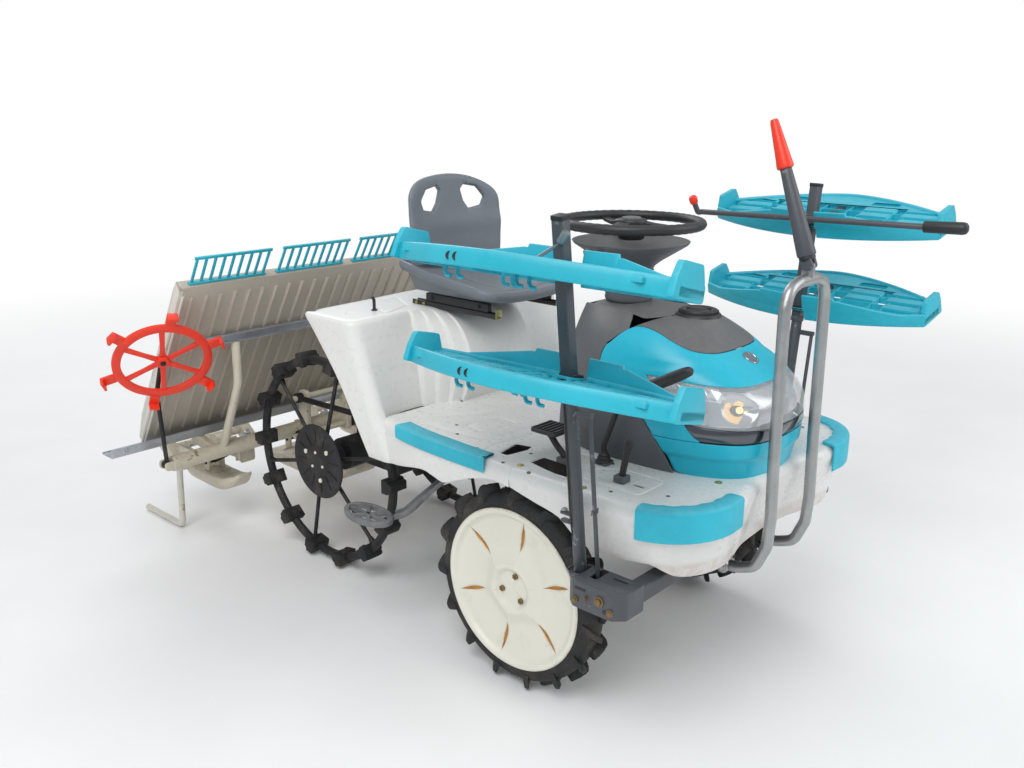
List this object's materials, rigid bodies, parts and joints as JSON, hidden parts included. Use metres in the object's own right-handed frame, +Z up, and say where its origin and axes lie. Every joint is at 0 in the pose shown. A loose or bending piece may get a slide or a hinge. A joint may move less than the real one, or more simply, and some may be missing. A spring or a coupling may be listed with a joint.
{
  "type": "riding rice transplanter",
  "caption": "Four-wheel riding rice transplanter with spare seedling racks, front hoop, driver's seat and a raised rear planting unit with sliding tray, floats and row markers.",
  "frame": {"origin": "on the ground under the middle of the machine's bounding box", "axes": "+X forward, +Y to the driver's left, +Z up; the wheels stand on z = 0"},
  "size_m": [2.4088, 1.6736, 1.4153],
  "materials": {
    "machine_paint": "satin black frame paint",
    "cast_grey": "grey cast and painted metal",
    "teal_plastic": "gloss turquoise moulded plastic",
    "white_panel": "gloss white moulded panel",
    "grey_plastic": "satin grey moulded plastic",
    "lamp_clear": "clear lamp cover over a silver reflector",
    "black_plastic": "satin black plastic",
    "zinc_steel": "zinc plated steel",
    "post_paint": "grey painted steel",
    "tyre_rubber": "black lugged rubber",
    "cream_disc": "cream paint with rust at the slots",
    "cream_cast": "off-white painted castings and floats",
    "tray_beige": "beige grey tray panel",
    "orange_plastic": "orange marker plastic",
    "white_tube": "white painted tube"
  },
  "bodies": {
    "machine": {"chassis_frame": "machine_paint", "engine_block": "cast_grey", "front_axle_case": "machine_paint", "rear_axle_case": "machine_paint", "hood_shell": "teal_plastic", "dash_cover": "grey_plastic", "headlamp_band": "lamp_clear", "nose_skirt": "teal_plastic", "front_deck": "white_panel", "step_floor": "white_panel", "deck_pads": "teal_plastic", "seat_base": "white_panel", "seat_rails": "black_plastic", "column_bowl": "grey_plastic", "hand_levers": "black_plastic", "stirrup_steps": "post_paint", "rack_brackets": "post_paint"},
    "seat": {"driver_seat": "grey_plastic"},
    "steering": {"steering_wheel": "black_plastic"},
    "rack_unit_r": {"rack_post_r": "post_paint", "seedling_racks_r": "teal_plastic"},
    "rack_unit_l": {"rack_post_l": "post_paint", "seedling_racks_l": "teal_plastic"},
    "hoop": {"front_hoop": "zinc_steel"},
    "marker": {"centre_marker": "grey_plastic"},
    "steer_case_r": {"knuckle_r": "machine_paint"},
    "steer_case_l": {"knuckle_l": "machine_paint"},
    "front_wheel_r": {"front_tyre_r": "tyre_rubber", "front_disc_r": "cream_disc"},
    "front_wheel_l": {"front_tyre_l": "tyre_rubber", "front_disc_l": "cream_disc"},
    "rear_wheel_r": {"rear_wheel_r": "tyre_rubber"},
    "rear_wheel_l": {"rear_wheel_l": "tyre_rubber"},
    "lift_lower": {"lower_links": "machine_paint"},
    "lift_upper": {"upper_link": "machine_paint"},
    "planting_unit": {"planting_frame": "cream_cast", "tray_rails": "zinc_steel"},
    "tray": {"seedling_tray": "tray_beige", "tray_guards": "teal_plastic"},
    "rotors": {"planting_rotors": "machine_paint"},
    "float_centre": {"centre_float": "cream_cast"},
    "float_sides": {"side_floats": "cream_cast"},
    "side_marker_r": {"marker_arm_r": "machine_paint"},
    "side_marker_l": {"marker_arm_l": "machine_paint"},
    "star_r": {"star_wheel_r": "orange_plastic"},
    "star_l": {"star_wheel_l": "orange_plastic"},
    "stand": {"parking_stand": "white_tube"}
  },
  "joints": [
    {"name": "steer_l", "type": "hinge", "parent": "machine", "child": "steer_case_l", "pos_m": [0.525, 0.332, 0.42], "axis": [0, 0, 1], "range_deg": [-33, 33]},
    {"name": "steer_r", "type": "hinge", "parent": "machine", "child": "steer_case_r", "pos_m": [0.525, -0.332, 0.42], "axis": [0, 0, 1], "range_deg": [-33, 33]},
    {"name": "steering_turn", "type": "hinge", "parent": "machine", "child": "steering", "pos_m": [0.545, 0, 1.15], "axis": [0, 0, 1], "range_deg": [-330, 330]},
    {"name": "front_wheel_spin_r", "type": "hinge", "parent": "steer_case_r", "child": "front_wheel_r", "pos_m": [0.525, -0.395, 0.27], "axis": [0, 1, 0], "continuous": true},
    {"name": "front_wheel_spin_l", "type": "hinge", "parent": "steer_case_l", "child": "front_wheel_l", "pos_m": [0.525, 0.395, 0.27], "axis": [0, 1, 0], "continuous": true},
    {"name": "rear_wheel_spin_r", "type": "hinge", "parent": "machine", "child": "rear_wheel_r", "pos_m": [-0.385, -0.3, 0.35], "axis": [0, 1, 0], "continuous": true},
    {"name": "rear_wheel_spin_l", "type": "hinge", "parent": "machine", "child": "rear_wheel_l", "pos_m": [-0.385, 0.3, 0.35], "axis": [0, 1, 0], "continuous": true},
    {"name": "rack_fold_r", "type": "hinge", "parent": "machine", "child": "rack_unit_r", "pos_m": [0.771, -0.465, 0.4], "axis": [1, 0, 0], "range_deg": [-5, 6]},
    {"name": "rack_fold_l", "type": "hinge", "parent": "machine", "child": "rack_unit_l", "pos_m": [0.771, 0.465, 0.4], "axis": [1, 0, 0], "range_deg": [-6, 5]},
    {"name": "hoop_fold", "type": "hinge", "parent": "machine", "child": "hoop", "pos_m": [0.935, 0, 0.36], "axis": [0, 1, 0], "range_deg": [0, 70]},
    {"name": "centre_marker_fold", "type": "hinge", "parent": "hoop", "child": "marker", "pos_m": [1.033, 0, 1.097], "axis": [0, 1, 0], "range_deg": [-40, 60]},
    {"name": "seat_slide", "type": "slide", "parent": "machine", "child": "seat", "axis": [1, 0, 0], "range_m": [-0.04, 0.03]},
    {"name": "lift_lower_swing", "type": "hinge", "parent": "machine", "child": "lift_lower", "pos_m": [-0.445, 0, 0.3], "axis": [0, 1, 0], "range_deg": [-22, 28]},
    {"name": "lift_upper_swing", "type": "hinge", "parent": "machine", "child": "lift_upper", "pos_m": [-0.445, 0, 0.44], "axis": [0, 1, 0], "range_deg": [-22, 28]},
    {"name": "planting_level", "type": "hinge", "parent": "lift_lower", "child": "planting_unit", "pos_m": [-0.775, 0, 0.29], "axis": [0, 1, 0], "range_deg": [-28, 22]},
    {"name": "tray_shift", "type": "slide", "parent": "planting_unit", "child": "tray", "axis": [0, 1, 0], "range_m": [-0.13, 0.13]},
    {"name": "rotor_spin", "type": "hinge", "parent": "planting_unit", "child": "rotors", "pos_m": [-1.09, 0, 0.25], "axis": [0, 1, 0], "continuous": true},
    {"name": "centre_float_tilt", "type": "hinge", "parent": "planting_unit", "child": "float_centre", "pos_m": [-0.98, 0, 0.205], "axis": [0, 1, 0], "range_deg": [-6, 6]},
    {"name": "side_float_tilt", "type": "hinge", "parent": "planting_unit", "child": "float_sides", "pos_m": [-0.98, 0, 0.205], "axis": [0, 1, 0], "range_deg": [-6, 6]},
    {"name": "side_marker_fold_r", "type": "hinge", "parent": "planting_unit", "child": "side_marker_r", "pos_m": [-0.825, -0.606, 0.3], "axis": [1, 0, 0], "range_deg": [0, 80]},
    {"name": "side_marker_fold_l", "type": "hinge", "parent": "planting_unit", "child": "side_marker_l", "pos_m": [-0.825, 0.606, 0.3], "axis": [1, 0, 0], "range_deg": [-80, 0]},
    {"name": "star_spin_r", "type": "hinge", "parent": "side_marker_r", "child": "star_r", "pos_m": [-0.67, -0.668, 0.69], "axis": [0.8017, -0.3407, -0.4911], "continuous": true},
    {"name": "star_spin_l", "type": "hinge", "parent": "side_marker_l", "child": "star_l", "pos_m": [-0.67, 0.668, 0.69], "axis": [0.8017, 0.3407, -0.4911], "continuous": true},
    {"name": "stand_fold", "type": "hinge", "parent": "planting_unit", "child": "stand", "pos_m": [-0.945, 0, 0.24], "axis": [0, 1, 0], "range_deg": [0, 90]}
  ],
  "couplings": [
    {"joint": "steer_r", "follows": "steer_l", "ratio": 1},
    {"joint": "steering_turn", "follows": "steer_l", "ratio": 10},
    {"joint": "lift_upper_swing", "follows": "lift_lower_swing", "ratio": 1},
    {"joint": "planting_level", "follows": "lift_lower_swing", "ratio": -1}
  ]
}
